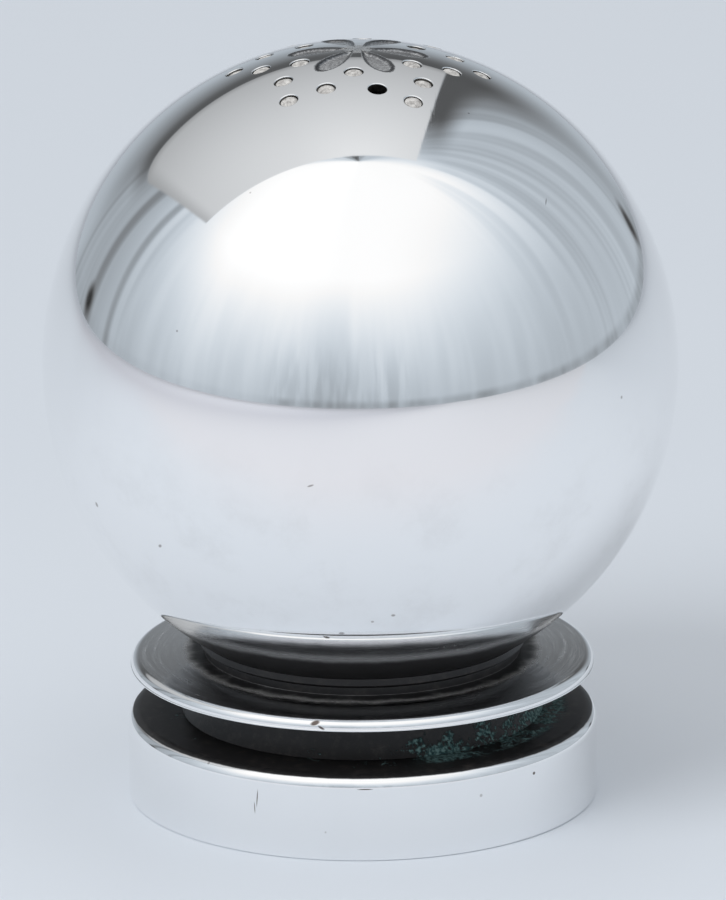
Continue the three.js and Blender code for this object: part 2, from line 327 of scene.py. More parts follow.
# The sweep behind the pot, then the shade beside the card.
sweep_light = between(step(elevation, 2, 26), ramp(elevation, -6, 8, 0.53, 0.44), 0.08)
streaks = step(azimuth, -42, -24) * step(azimuth, 26, 10)
streaks = streaks * step(elevation, 26, 4)
streaks = streaks * step(folds(0.3, 0.035, 21.0), 0.42, 0.6, 0.16, 0.0)
light = light * (1.0 - streaks)
behind = calc("MAXIMUM", step(azimuth, 145, 162), step(azimuth, -136, -148))
behind = behind * step(elevation, 66, 50)
light = between(behind, light, sweep_light)
beside = step(inside["right"], -0.15, -0.04) * step(backwards, 0.06, 0.5)
beside = beside * step(azimuth, 0, 30) * step(elevation, 10, 34)
light = between(beside, light, 0.095)
near_corner = step(bent, -0.13, -0.01)
light = between(near_corner * step(azimuth, -124, -146), light, 0.1)
print("tent and sweep ready")

# %% [markdown]
# The card is lit from the front, so it goes from light at its front edge to dark at the back. The last
# step turns light into a colour, a little bluer where it is darker, and keeps it for glossy rays.

# %% Add the card and finish the world
card_light = ramp(elevation, 20, 92, 0.41, 0.87)
card_light = card_light * ramp(rightwards, -0.3, -0.75, 1.0, 1.13)
card_light = card_light * step(bent, -0.01, 0.07, 0.72, 1.0)
light = between(card, light, card_light)
cool = light * calc("MAXIMUM", 1.0 - light, 0.0)
cool = cool * between(card, 0.4, 0.11)
studio = add(sky, "ShaderNodeCombineColor", {0: light * (1.0 - cool), 1: light, 2: light * (1.0 + cool)})

rays = values_of(add(sky, "ShaderNodeLightPath"))
seen = blend(rays["Is Camera Ray"], PLAIN_LIGHT, SEEN_COLOUR)
mirrored = calc("MAXIMUM", rays["Is Glossy Ray"], rays["Is Transmission Ray"])
background = add(sky, "ShaderNodeBackground", {"Color": blend(mirrored, seen, studio.outputs[0])})
add(sky, "ShaderNodeOutputWorld", {"Surface": background.outputs[0]})
print("world has", len(sky.nodes), "nodes")

# %% [markdown]
# The table is one wide pale disc. It has to reach far, because the ball mirrors its horizon. Its colour
# carries painted light: lighter in front of and near the pot, darker far back and towards the lamp's side,
# as the light falls off. A single large lamp from the left, above the camera, draws the soft shadow to the
# right of the foot. It is hidden from glossy rays: the white tent already stands for it in the mirror.
# Seen from below, the table is clear, so that one can look at the base of the pot.

# %% Lay the table and hang the lamp
TABLE_REACH = 3.0
# Painted light: these tones go from the lit table in front to the shaded table far back and on the lamp's
# side.
FRONT_COLOUR = (0.740, 0.752, 0.800, 1)
NEAR_COLOUR = (0.705, 0.755, 0.820, 1)
MIDDLE_COLOUR = (0.655, 0.705, 0.770, 1)
FAR_SHADE_COLOUR = (0.520, 0.560, 0.620, 1)
LAMPWARD_SHADE_COLOUR = (0.535, 0.545, 0.600, 1)
LAMP_AT = Vector((-0.75, -0.85, 1.25))
LAMP_SIZE = 0.9
LAMP_POWER = 11.0

bpy.ops.mesh.primitive_circle_add(vertices=128, radius=TABLE_REACH, fill_type="NGON")
table = bpy.context.object
table.name = "table"
table_painted_light = bpy.data.materials.new("table_painted_light")
table_painted_light.use_nodes = True
tree = table_painted_light.node_tree
surface = tree.nodes["Principled BSDF"]
feed(surface.inputs["Roughness"], 0.45)
feed(surface.inputs["Specular IOR Level"], 0.25)
here = Value(add(tree, "ShaderNodeTexCoord").outputs["Object"])
rightward, backward, _ = split(here)
mottle = (noise(here, 6.0, 4.0) - 0.5) * 0.05
away = backward + mottle
# Painted light: the table darkens from front to back and towards the lamp, as its light falls off.
painted_falloff = blend(step(away, -0.02, 0.11), NEAR_COLOUR, MIDDLE_COLOUR)
painted_falloff = blend(step(away, -0.025, -0.09), painted_falloff, FRONT_COLOUR)
lampwards = rightward * -0.8 + backward * -0.6
painted_falloff = blend(step(lampwards, 0.06, 0.5), painted_falloff, LAMPWARD_SHADE_COLOUR)
feed(surface.inputs["Base Color"], blend(step(away, 0.3, 1.2), painted_falloff, FAR_SHADE_COLOUR))
from_below = add(tree, "ShaderNodeMixShader", {
    0: add(tree, "ShaderNodeNewGeometry").outputs["Backfacing"], 1: surface.outputs[0],
    2: add(tree, "ShaderNodeBsdfTransparent").outputs[0]})
feed(tree.nodes["Material Output"].inputs["Surface"], from_below.outputs[0])
table.data.materials.append(table_painted_light)

lamp_data = bpy.data.lights.new("soft_lamp", "AREA")
lamp_data.shape = "DISK"
lamp_data.size = LAMP_SIZE
lamp_data.energy = LAMP_POWER
lamp = bpy.data.objects.new("soft_lamp", lamp_data)
lamp.location = LAMP_AT
lamp.rotation_euler = (Vector((0, 0, 0.03)) - LAMP_AT).to_track_quat("-Z", "Y").to_euler()
lamp.visible_glossy = False
bpy.context.scene.collection.objects.link(lamp)
print("table reaches", TABLE_REACH, "m")

# %% [markdown]
# Several finishes need the same three things, so each is a node group with named sockets. `place on
# the pot` turns a point into its distance from the axis, its height and its angle from the front.
# `wear` makes hairlines and faint clouds of haze, and `dirt` spreads a stain with a broken edge.

# %% Make the shared node groups
SOCKET_KINDS = {"Millimetres": "NodeSocketVector", "Color": "NodeSocketColor"}


def new_group(name, inputs, outputs):
    """Empty shader group with named sockets, most of them numbers, and its two end nodes."""
    group = bpy.data.node_groups.new(name, "ShaderNodeTree")
    for side, labels in (("INPUT", inputs), ("OUTPUT", outputs)):
        for label in labels:
            kind = SOCKET_KINDS.get(label, "NodeSocketFloat")
            socket = group.interface.new_socket(label, in_out=side, socket_type=kind)
            if side == "INPUT" and kind == "NodeSocketFloat":
                socket.default_value = inputs[label]
    return group, values_of(add(group, "NodeGroupInput")), add(group, "NodeGroupOutput")


place_group, given, result = new_group("place on the pot", {}, ["Radius", "Height", "Angle", "Millimetres"])
object_place = add(place_group, "ShaderNodeTexCoord").outputs["Object"]
to_mm = add(place_group, "ShaderNodeVectorMath", {0: object_place, "Scale": 1 / MM}, operation="SCALE")
x, y, z = split(Value(to_mm.outputs[0]))
across_squared = x * x
along_squared = y * y
feed(result.inputs["Radius"], calc("SQRT", across_squared + along_squared))
feed(result.inputs["Height"], z)
frontwards = y * -1.0
feed(result.inputs["Angle"], calc("ARCTAN2", x, frontwards) * math.degrees(1))
feed(result.inputs["Millimetres"], to_mm.outputs[0])

wear_group, given, result = new_group(
    "wear", {"Millimetres": None, "Hairlines": 0.5, "Haze": 0.5, "Polish": 0.05},
    ["Height", "Roughness", "Specks"])


def scratches(turn, seed):
    """Thin lines in one direction."""
    mapping = add(wear_group, "ShaderNodeMapping", {
        "Vector": given["Millimetres"], "Location": (seed, seed, 0),
        "Rotation": tuple(math.radians(a) for a in turn), "Scale": (5.0, 0.12, 0.12)})
    return step(noise(Value(mapping.outputs[0]), 1.0, 4.0, 0.7), 0.60, 0.72)


lines = calc("MAXIMUM", scratches((20, 35, 10), 3.0), scratches((-50, 15, 60), 7.0))
feed(result.inputs["Height"], lines * given["Hairlines"])
clouds = step(noise(given["Millimetres"], 0.12, 5.0, 0.65), 0.35, 0.75)
haze = clouds * given["Haze"] * 0.1
feed(result.inputs["Roughness"], given["Polish"] + haze)
pits = add(wear_group, "ShaderNodeTexVoronoi", {
    "Vector": given["Millimetres"], "Scale": 0.22}, feature="F1")
feed(result.inputs["Specks"], step(Value(pits.outputs["Distance"]), 0.035, 0.02))

dirt_group, given, result = new_group(
    "dirt", {"Millimetres": None, "Cover": 0.5, "Grain": 0.5, "Ragged": 0.3, "Soft": 0.1}, ["Mask"])
ragged = noise(given["Millimetres"], given["Grain"], 6.0, 0.6)
offset = (ragged - 0.5) * given["Ragged"]
covered = given["Cover"] + offset
feed(result.inputs["Mask"], step(covered, 0.5 - given["Soft"], 0.5 + given["Soft"]))


def use(tree, group, **values):
    """Places a shared group in a tree, with its own values, and returns its outputs."""
    node = add(tree, "ShaderNodeGroup", node_tree=group)
    for name, value in values.items():
        feed(node.inputs[name], value)
    return values_of(node)


print("groups:", [g.name for g in bpy.data.node_groups])

# %% [markdown]
# Every finish starts alike, with a Principled surface and the place on the pot. One function makes that
# start and another one bumps the surface. Each finish then adds what is its own.

# %% Start a finish
def new_finish(name, metallic=1.0):
    """Material with its tree, its surface and the outputs of the place group."""
    material = bpy.data.materials.new(name)
    material.use_nodes = True
    tree = material.node_tree
    surface = tree.nodes["Principled BSDF"]
    feed(surface.inputs["Metallic"], metallic)
    return material, tree, surface, use(tree, place_group)


def bump(surface, height, depth):
    """Raises the surface by a height from 0 to 1, `depth` metres deep."""
    node = add(surface.id_data, "ShaderNodeBump", {"Distance": depth, "Height": height})
    feed(surface.inputs["Normal"], node.outputs[0])


SILVER = (0.93, 0.932, 0.935, 1)
TARNISH = (0.016, 0.0155, 0.0165, 1)
TARNISH_BROWN = (0.11, 0.085, 0.07, 1)
TARNISH_RUBBED = (0.045, 0.041, 0.039, 1)
SATIN_DARK = (0.42, 0.42, 0.43, 1)
SATIN_LIGHT = (0.88, 0.88, 0.88, 1)
DRIED_POLISH = (0.035, 0.037, 0.042, 1)
KNOT_HIGHLIGHT = (0.9, 0.89, 0.87, 1)
print("ready to make finishes")

# %% [markdown]
# The chased petals at the top are drawn by the mesh and darkened by the finish, so both need the same
# outline. Seen along a petal, the half width swells like a quarter of a sine wave up to its widest
# place, and from there on the tip is half an ellipse. The shader group folds all six petals onto one.

# %% Describe a petal, once for the mesh and once for the finish
PATTERN_TURN = -3.9
PETALS = 6
SECTOR = 360 / PETALS
PETAL_ROOT = 0.6
PETAL_TIP = 5.55
PETAL_HALF = 0.98
PETAL_WIDEST = 0.66


def inside_petal(along, across):
    """Distance in millimetres inside the outline of a petal that lies along the first direction."""
    t = np.clip((along - PETAL_ROOT) / (PETAL_TIP - PETAL_ROOT), 0, None)
    swell = PETAL_HALF * np.sin(math.pi / 2 * np.minimum(t / PETAL_WIDEST, 1))
    tip = np.maximum(t - PETAL_WIDEST, 0) / (1 - PETAL_WIDEST)
    return swell - np.hypot(across, tip * PETAL_HALF)


petal_group, given, result = new_group("petal outline", {"Millimetres": None}, ["Inside", "From Pole"])
x, y, z = split(given["Millimetres"])
flat_radius = calc("SQRT", x ** 2.0 + y ** 2.0)
polar = calc("ARCSINE", flat_radius / (ball_r / MM))
from_pole = polar * (ball_r / MM)
bearing = calc("ARCTAN2", x, y * -1.0) * math.degrees(1)
folded = calc("WRAP", bearing - (PATTERN_TURN + SECTOR / 2), SECTOR / 2, -SECTOR / 2)
folded = folded * math.radians(1)
along = from_pole * calc("COSINE", folded)
across = from_pole * calc("SINE", folded)
t = (along - PETAL_ROOT) / (PETAL_TIP - PETAL_ROOT)
rising = calc("MINIMUM", calc("MAXIMUM", t, 0.0) / PETAL_WIDEST, 1.0)
swell = calc("SINE", rising * (math.pi / 2)) * PETAL_HALF
beyond = calc("MAXIMUM", t - PETAL_WIDEST, 0.0)
beyond = beyond * (PETAL_HALF / (1 - PETAL_WIDEST))
reach = calc("SQRT", across ** 2.0 + beyond ** 2.0)
on_top = step(z, ball_z / MM, ball_z / MM + 10)
feed(result.inputs["Inside"], between(on_top, -9.0, swell - reach))
feed(result.inputs["From Pole"], from_pole)
print("petals reach", PETAL_TIP, "mm from the pole")

# %% [markdown]
# Single marks are what makes a polished thing look used: a nick, a scratch, a dent. Each is a thin
# ellipsoid at one place on the surface, given by its middle and its half lengths in millimetres.

# %% Make single marks
def mark(millimetres, middle, halves, turn=(0, 0, 0)):
    """Soft mask of one mark: 1 in its middle and 0 outside."""
    tree = millimetres.tree
    mapping = add(tree, "ShaderNodeMapping", {
        "Vector": millimetres, "Location": middle, "Rotation": tuple(math.radians(a) for a in turn),
        "Scale": halves}, vector_type="TEXTURE")
    length = add(tree, "ShaderNodeVectorMath", {0: mapping.outputs[0]}, operation="LENGTH")
    return step(Value(length.outputs["Value"]), 1.0, 0.45)


def most(masks):
    """Largest of several masks."""
    return functools.reduce(lambda best, mask: calc("MAXIMUM", best, mask), masks)


def marks(millimetres, rows):
    """Mask of several marks, each a row of (middle, half lengths) or (middle, half lengths, turn)."""
    return most([mark(millimetres, *row) for row in rows])


def around(radius, degrees, height):
    """Place at a radius, an angle from the front and a height, in millimetres."""
    angle = math.radians(degrees)
    return (radius * math.sin(angle), -radius * math.cos(angle), height)


print("marks ready")

# %% [markdown]
# Bright silver plate. It is a clean mirror with a trace of haze from wiping, hairlines that show only
# where light grazes them and a few dark specks where the plate is pitted. Round the petals old polish
# has dried in a dark line, and inside them the punch has left a grained surface. At the pole, where the
# petals meet, a grainy white highlight is painted. Towards the neck the plate has gone black, with a cloudy
# edge.

# %% Finish of the ball
ball_finish, tree, surface, at = new_finish("ball_silver")
worn = use(tree, wear_group, Millimetres=at["Millimetres"], Hairlines=0.6, Haze=0.25, Polish=0.03)
below = step(at["Height"], ball_z / MM, ball_z / MM - 10)
low = step(at["Radius"], 18.0, 15.3) * below
stain = use(tree, dirt_group, Millimetres=at["Millimetres"], Cover=low, Grain=0.35, Ragged=0.4, Soft=0.42)
single = marks(at["Millimetres"], [
    ((14.35, -12.4, 51.2), (0.10, 0.5, 0.75), (0, 12, 0)),
    ((13.6, -13.2, 51.0), (0.10, 0.4, 0.35)),
    ((-3.9, -24.6, 32.4), (0.35, 0.5, 0.10), (0, -20, 0)),
    ((2.4, -20.5, 20.7), (0.22, 0.6, 0.16)),
    ((-1.6, -19.3, 18.9), (0.30, 0.6, 0.14)),
    ((-15.6, -17.0, 25.4), (0.16, 0.5, 0.24), (0, 30, 0)),
    ((-20.6, -12.0, 27.2), (0.14, 0.5, 0.30), (0, -15, 0)),
])
rubbed = noise(at["Millimetres"], 0.16, 6.0, 0.7)
rubbed = step(rubbed, 0.46, 0.72, 0.0, 0.07) * step(at["Height"], ball_z / MM + 4, ball_z / MM - 8)
soiled = calc("MAXIMUM", worn["Specks"] * 0.5, single * 0.6)
soiled = calc("MAXIMUM", soiled, rubbed)
colour = blend(soiled, SILVER, TARNISH_BROWN)
colour = blend(stain["Mask"], colour, TARNISH)
petal = use(tree, petal_group, Millimetres=at["Millimetres"])
grain = noise(at["Millimetres"], 5.0, 5.0, 0.7)
in_petal = step(petal["Inside"], 0.0, 0.12)
satin = blend(step(grain, 0.3, 0.7), SATIN_DARK, SATIN_LIGHT)
colour = blend(in_petal, colour, satin)
ragged_edge = petal["Inside"] + (grain - 0.5) * 0.3
dark_line = step(ragged_edge, -0.08, 0.05) * step(ragged_edge, 0.36, 0.14)
# Painted highlight: a grainy white glint on the knot at the pole, where the petals meet.
knot = step(petal["From Pole"], 1.5, 0.9) * step(at["Height"], pole_z / MM - 2, pole_z / MM - 1)
colour = blend(dark_line * 0.88, colour, DRIED_POLISH)
colour = blend(knot * step(grain, 0.45, 0.6), colour, KNOT_HIGHLIGHT)
feed(surface.inputs["Base Color"], colour)
dulled = most([in_petal, dark_line, knot])
roughness = between(dulled, worn["Roughness"], 0.24)
feed(surface.inputs["Roughness"], between(stain["Mask"], roughness, 0.42))
feed(surface.inputs["Metallic"], between(stain["Mask"], 1.0, 0.3))
height = worn["Height"] * 0.01 + dulled * grain
bump(surface, height, 0.03 * MM)
print(ball_finish.name)

# %% [markdown]
# In the groove above the foot the plate is almost black, and green copper salts have come through it.
# They lie as fine crisp grains, most of them to the right where the stem stands on the foot. Stem and
# foot both use this group, so the salts run on from one to the other.

# %% Make the verdigris
VERDIGRIS_DARK = (0.012, 0.05, 0.055, 1)
VERDIGRIS_LIGHT = (0.16, 0.28, 0.28, 1)
salts_group, given, result = new_group(
    "verdigris", {"Millimetres": None, "Radius": 0.0, "Angle": 0.0}, ["Mask", "Color"])
fine_grain = noise(given["Millimetres"], 2.6, 5.0, 0.75)
patches = noise(given["Millimetres"], 0.5, 3.0, 0.6)
right_side = step(given["Angle"], -4, 24) * step(given["Angle"], 118, 92)
_, _, z = split(given["Millimetres"])
up_the_stem = step(z, foot_top / MM + 0.3, foot_top / MM + 2.2, 0.0, 0.09)
amount = between(right_side, 0.02, 0.155) - up_the_stem
near_stem = step(given["Radius"], 16.5, 15.5)
growth = (fine_grain + patches) * 0.5 + amount
feed(result.inputs["Mask"], step(growth, 0.625, 0.67) * near_stem)
tint = noise(given["Millimetres"], 4.0, 4.0)
feed(result.inputs["Color"], blend(step(tint, 0.35, 0.7), VERDIGRIS_DARK, VERDIGRIS_LIGHT))
print(salts_group.name)

# %% [markdown]
# Flange and foot share one finish. Where the polishing cloth reaches they are as bright as the ball,
# with the fine rings that the lathe left. The seat, the flange's lower face and the foot's upper face
# have gone black. The heights of those faces come from the frame.

# %% Finish of the flange and the foot
foot_finish, tree, surface, at = new_finish("foot_silver")
worn = use(tree, wear_group, Millimetres=at["Millimetres"], Hairlines=0.8, Haze=0.4, Polish=0.035)
FLANGE_LOW = flange_low / MM
SEAT_TOP = flange_top / MM
FOOT_TOP = foot_top / MM
height = at["Height"]
on_cone = step(height, FLANGE_LOW + 0.4, FLANGE_LOW + 0.5) * step(height, SEAT_TOP - 0.6, SEAT_TOP - 0.66)
under_flange = step(height, FLANGE_LOW + 0.02, FLANGE_LOW + 0.005)
under_flange = under_flange * step(height, FOOT_TOP + 1, FOOT_TOP + 2)
on_foot = step(height, FOOT_TOP + 1, FOOT_TOP + 0.5) * step(height, FOOT_TOP - 0.35, FOOT_TOP - 0.12)
on_seat = step(height, SEAT_TOP - 0.66, SEAT_TOP - 0.6)
near_neck = on_cone * step(at["Radius"], 15.4, 12.9)
cover = most([near_neck * 0.75, under_flange, on_seat, on_foot])
stain = use(tree, dirt_group, Millimetres=at["Millimetres"], Cover=cover, Grain=0.6, Ragged=0.5, Soft=0.25)
single = marks(at["Millimetres"], [
    (around(18.15, -11.8, FLANGE_LOW + 0.62), (0.5, 0.6, 0.22), (0, -20, 0)),
    (around(18.3, -10.2, FLANGE_LOW + 0.30), (0.35, 0.5, 0.12), (0, 25, 0)),
    (around(18.55, 0.4, FOOT_TOP - 0.98), (0.75, 0.4, 0.06)),
    (around(18.58, 46, FOOT_TOP - 1.6), (0.14, 0.3, 0.16)),
    (around(18.58, -26.5, 4.6), (0.05, 0.3, 0.9), (0, 4, 0)),
    (around(18.58, -27.2, 3.8), (0.04, 0.3, 0.6), (0, -3, 0)),
])
cloudy = step(noise(at["Millimetres"], 0.9, 6.0, 0.7), 0.48, 0.74)
brown_edge = calc("MAXIMUM", on_foot, on_seat) * cloudy
colour = blend(calc("MAXIMUM", worn["Specks"] * 0.4, single * 0.95), SILVER, TARNISH_BROWN)
colour = blend(stain["Mask"], colour, blend(brown_edge, TARNISH, TARNISH_RUBBED))
salts = use(tree, salts_group, Millimetres=at["Millimetres"], Radius=at["Radius"], Angle=at["Angle"])
green = salts["Mask"] * on_foot
feed(surface.inputs["Base Color"], blend(green, colour, salts["Color"]))
feed(surface.inputs["Metallic"], (1.0 - green) * between(stain["Mask"], 1.0, 0.3))
streaky = combine(at["Radius"] * 3.0, at["Angle"] * 0.04)
brushed = step(noise(streaky, 1.0, 4.0, 0.65), 0.3, 0.75, 0.06, 0.3)
roughness = between(on_cone * step(at["Radius"], 18.0, 17.4), worn["Roughness"], brushed)
roughness = between(stain["Mask"], roughness, 0.42)
feed(surface.inputs["Roughness"], between(green, roughness, 0.9))
turning = combine(at["Radius"] * 9.0, at["Angle"] * 0.02)
lathe = noise(turning, 1.0, 3.0, 0.7) * on_cone
height = worn["Height"] * 0.04 + lathe * 0.35
height = height + green * 6.0
bump(surface, height - single * 2.0, 0.008 * MM)
print(foot_finish.name)

# %% Finish of the stem and the neck
def tarnished_finish(name, green):
    """Black tarnish, a little lighter where it is rubbed, with verdigris by the given amount."""
    material, tree, surface, at = new_finish(name)
    rubbed = step(noise(at["Millimetres"], 1.1, 6.0, 0.7), 0.46, 0.8)
    dark = blend(rubbed, TARNISH, TARNISH_RUBBED)
    salts = use(tree, salts_group, Millimetres=at["Millimetres"], Radius=at["Radius"], Angle=at["Angle"])
    mask = salts["Mask"] * green
    feed(surface.inputs["Base Color"], blend(mask, dark, salts["Color"]))
    feed(surface.inputs["Metallic"], step(mask, 0.0, 1.0, 0.3, 0.0))
    feed(surface.inputs["Roughness"], step(mask, 0.0, 1.0, 0.42, 0.9))
    bump(surface, mask + rubbed * 0.2, 0.05 * MM)
    return material


stem_finish = tarnished_finish("stem_tarnish", 1.0)
neck_finish = tarnished_finish("neck_tarnish", 0.0)
print(stem_finish.name, neck_finish.name)

# %% Finish of the screw
thread_finish, tree, surface, at = new_finish("thread_metal")
turning = add(tree, "ShaderNodeTexWave", {
    "Vector": at["Millimetres"], "Scale": 2.2, "Distortion": 0.6}, wave_type="BANDS", bands_direction="Z")
plate_left = step(noise(at["Millimetres"], 0.7, 5.0, 0.6), 0.35, 0.6)
feed(surface.inputs["Base Color"], blend(plate_left, (0.62, 0.46, 0.24, 1), (0.66, 0.64, 0.6, 1)))
feed(surface.inputs["Roughness"], step(plate_left, 0.0, 1.0, 0.34, 0.2))
bump(surface, turning.outputs["Fac"], 0.01 * MM)
print(thread_finish.name)

# %% Finish of the insides
inside_finish, tree, surface, at = new_finish("inside_silver")
dulled = noise(at["Millimetres"], 0.8, 5.0, 0.6)
feed(surface.inputs["Base Color"], blend(dulled, (0.1, 0.095, 0.09, 1), (0.26, 0.25, 0.23, 1)))
feed(surface.inputs["Roughness"], step(dulled, 0.3, 0.7, 0.35, 0.5))
bump(surface, dulled, 0.02 * MM)
print(inside_finish.name)

# %% [markdown]
# The base plate is dull and carries the fine rings that a lathe leaves, with scratches across them
# from standing on tables.

# %% Finish of the base plate
base_finish, tree, surface, at = new_finish("base_silver")
rings = calc("SINE", at["Radius"] * 42.0)
worn = use(tree, wear_group, Millimetres=at["Millimetres"], Hairlines=1.0, Haze=1.0, Polish=0.22)
dull = noise(at["Millimetres"], 0.4, 5.0, 0.6)
feed(surface.inputs["Base Color"], blend(dull, (0.5, 0.49, 0.47, 1), (0.74, 0.735, 0.72, 1)))
feed(surface.inputs["Roughness"], worn["Roughness"])
bump(surface, rings * 0.3 + worn["Height"], 0.01 * MM)
print(base_finish.name)

# %% Finish of the cork
cork_finish, tree, surface, at = new_finish("cork", metallic=0.0)
cells = add(tree, "ShaderNodeTexVoronoi", {"Vector": at["Millimetres"], "Scale": 2.5}, feature="F1")
fleck = step(noise(at["Millimetres"], 1.6, 6.0, 0.7), 0.5, 0.72)
cork_colour = blend(Value(cells.outputs["Distance"]), (0.44, 0.26, 0.13, 1), (0.62, 0.42, 0.24, 1))
feed(surface.inputs["Base Color"], blend(fleck, cork_colour, (0.16, 0.08, 0.04, 1)))
feed(surface.inputs["Roughness"], 0.85)
bump(surface, cells.outputs["Distance"], 0.06 * MM)
print(cork_finish.name)

# %% Finish of the crust in the holes
crust_finish, tree, surface, at = new_finish("crust", metallic=0.0)
clumps = noise(at["Millimetres"], 2.6, 6.0, 0.7)
crust_colour = blend(step(clumps, 0.35, 0.65), (0.34, 0.33, 0.32, 1), (0.72, 0.71, 0.69, 1))
feed(surface.inputs["Base Color"], crust_colour)
feed(surface.inputs["Roughness"], 0.7)
bump(surface, clumps, 0.12 * MM)
print(crust_finish.name)

# %% [markdown]
# A polished surface shows every fault of its mesh. So the turned pieces aren't smoothed by Blender:
# each stretch of an outline gets its normals from the curve itself, and those are stored in the mesh.
# An outline is a list of stretches. Inside a stretch the shading is smooth, and between two stretches
# there is an edge. The outline runs counter-clockwise, with the metal on its left.

# %% Weld stretches of surface into one closed mesh
def weld(name, patches, finishes):
    """Closed mesh from patches of (points, normals, faces, finish number)."""
    points, faces, planned, numbers = [], [], [], []
    for patch_points, patch_normals, patch_faces, number in patches:
        shift = len(points)
        points.extend(map(tuple, patch_points))
        for face in patch_faces:
            faces.append([shift + i for i in face])
            planned.extend(patch_normals[i] for i in face)
            numbers.append(number)
    mesh = bpy.data.meshes.new(name)
    mesh.from_pydata(points, [], faces)
    planned_layer = mesh.attributes.new("planned", "FLOAT_VECTOR", "CORNER")
    planned_layer.data.foreach_set("vector", np.array(planned, np.float32).ravel())
    mesh.polygons.foreach_set("material_index", np.array(numbers, np.int32))
    mesh.polygons.foreach_set("use_smooth", np.ones(len(faces), bool))
    shell = bmesh.new()
    shell.from_mesh(mesh)
    bmesh.ops.remove_doubles(shell, verts=shell.verts, dist=1e-7)
    open_edges = sum(not e.is_manifold for e in shell.edges)
    volume = shell.calc_volume(signed=True)
    shell.to_mesh(mesh)
    shell.free()
    kept = np.zeros(len(mesh.loops) * 3, np.float32)
    mesh.attributes["planned"].data.foreach_get("vector", kept)
    mesh.attributes.remove(mesh.attributes["planned"])
    mesh.normals_split_custom_set(kept.reshape(-1, 3).tolist())
    for finish in finishes:
        mesh.materials.append(finish)
    piece = bpy.data.objects.new(name, mesh)
    bpy.context.scene.collection.objects.link(piece)
    print(f"{name}: {len(mesh.polygons)} faces, {open_edges} open edges, {volume / MM ** 3:.0f} mm3")
    return piece


# %% Turn an outline round the axis
ROUND = 256


def line(*corners):
    """Straight stretches through corners, each with an edge at both ends."""
    return [np.array(pair, float) for pair in zip(corners, corners[1:])]


def arc(centre, radii, start, end, steps):
    """Stretch of an ellipse between two angles in degrees, counted from +radius towards +height."""
    angles = np.radians(np.linspace(start, end, steps + 1))
    return np.stack([centre[0] + radii[0] * np.cos(angles), centre[1] + radii[1] * np.sin(angles)], 1)


def turn_stretch(stretch, finish, segments=ROUND):
    """Patch made by turning one stretch of outline round the axis."""
    stretch = np.asarray(stretch, float)
    order = 2 if len(stretch) > 2 else 1
    tangent = np.gradient(stretch, axis=0, edge_order=order)
    tangent /= np.linalg.norm(tangent, axis=1)[:, None]
    angles = np.linspace(0, 2 * math.pi, segments, endpoint=False)
    cos, sin = np.cos(angles)[None], np.sin(angles)[None]
    radius, height = stretch[:, :1], np.repeat(stretch[:, 1:], segments, 1)
    points = np.stack([radius * cos, radius * sin, height], -1).reshape(-1, 3)
    outward, upward = tangent[:, 1:], np.repeat(-tangent[:, :1], segments, 1)
    normals = np.stack([outward * cos, outward * sin, upward], -1).reshape(-1, 3)
    faces = []
    for row in range(0, (len(stretch) - 1) * segments, segments):
        for j in range(segments):
            k = (j + 1) % segments
            faces.append((row + j, row + k, row + segments + k, row + segments + j))
    return points, normals, faces, finish


def turned_piece(name, stretches, finishes):
    """Piece turned from stretches of (outline, finish number)."""
    return weld(name, [turn_stretch(outline, finish) for outline, finish in stretches], finishes)


def same(stretches, finish):
    """Gives all of several stretches one finish number."""
    return [(outline, finish) for outline in stretches]


print("turning with", ROUND, "sides")

# %% [markdown]
# The ball is a touch taller than wide. Both halves share these two functions, one for a point on the
# ball and one for its outline, so their polished skins meet at the seam without a step.

# %% Describe the ball
WALL = 0.8 * MM


def ball_outline(start, end, steps, inset=0.0):
    """Outline of the ball between two angles from the equator, in degrees."""
    return arc((0.0, ball_z), (ball_r - inset, ball_half_h - inset), start, end, steps)


def ball_normal(points):
    """Directions that point straight out of the ball at these points."""
    out = (points - (0, 0, ball_z)) / (ball_r ** 2, ball_r ** 2, ball_half_h ** 2)
    return out / np.linalg.norm(out, axis=1)[:, None]


def on_ball(flat, inset=0.0):
    """Places on the ball for flat places, which are distances along it from the pole."""
    far = np.maximum(np.hypot(flat[:, 0], flat[:, 1]), 1e-12)
    polar = far / ball_r
    share = (ball_r - inset) * np.sin(polar) / far
    heights = ball_z + (ball_half_h - inset) * np.cos(polar)
    return np.stack([flat[:, 0] * share, flat[:, 1] * share, heights], 1)


print("pole at", round(pole_z / MM, 2), "mm")

# %% [markdown]
# The pattern has six-fold order: six chased petals, and round them single and paired holes. One
# function gives the flat place for a distance and an angle, and one loop lists the holes.

# %% Lay out holes and petals
HOLE_R = 0.75 * MM
INNER_ARC = 5.1 * MM
MIDDLE_ARC = 7.85 * MM
MIDDLE_SPREAD = 15
OUTER_ARC = 9.95 * MM


def flat_place(distance, degrees):
    """Flat place at a distance from the pole and an angle from the front towards +X."""
    angle = math.radians(degrees)
    return np.array([distance * math.sin(angle), -distance * math.cos(angle)])


holes, petal_angles = [], []
for i in range(PETALS):
    gap_angle = PATTERN_TURN + SECTOR * i
    petal_angle = gap_angle + SECTOR / 2
    petal_angles.append(petal_angle)
    holes += [flat_place(INNER_ARC, gap_angle), flat_place(MIDDLE_ARC, petal_angle - MIDDLE_SPREAD),
              flat_place(MIDDLE_ARC, petal_angle + MIDDLE_SPREAD), flat_place(OUTER_ARC, petal_angle)]
holes = np.array(holes)
print(len(holes), "holes and", len(petal_angles), "petals")

# %% [markdown]
# A petal is a spoon-shaped hollow. The depth rises smoothly from the outline inwards and then stays
# level, as a round punch leaves it.

# %% Give the petals their depth
PETAL_DEPTH = 0.19 * MM
PETAL_SLOPE = 0.36 * MM


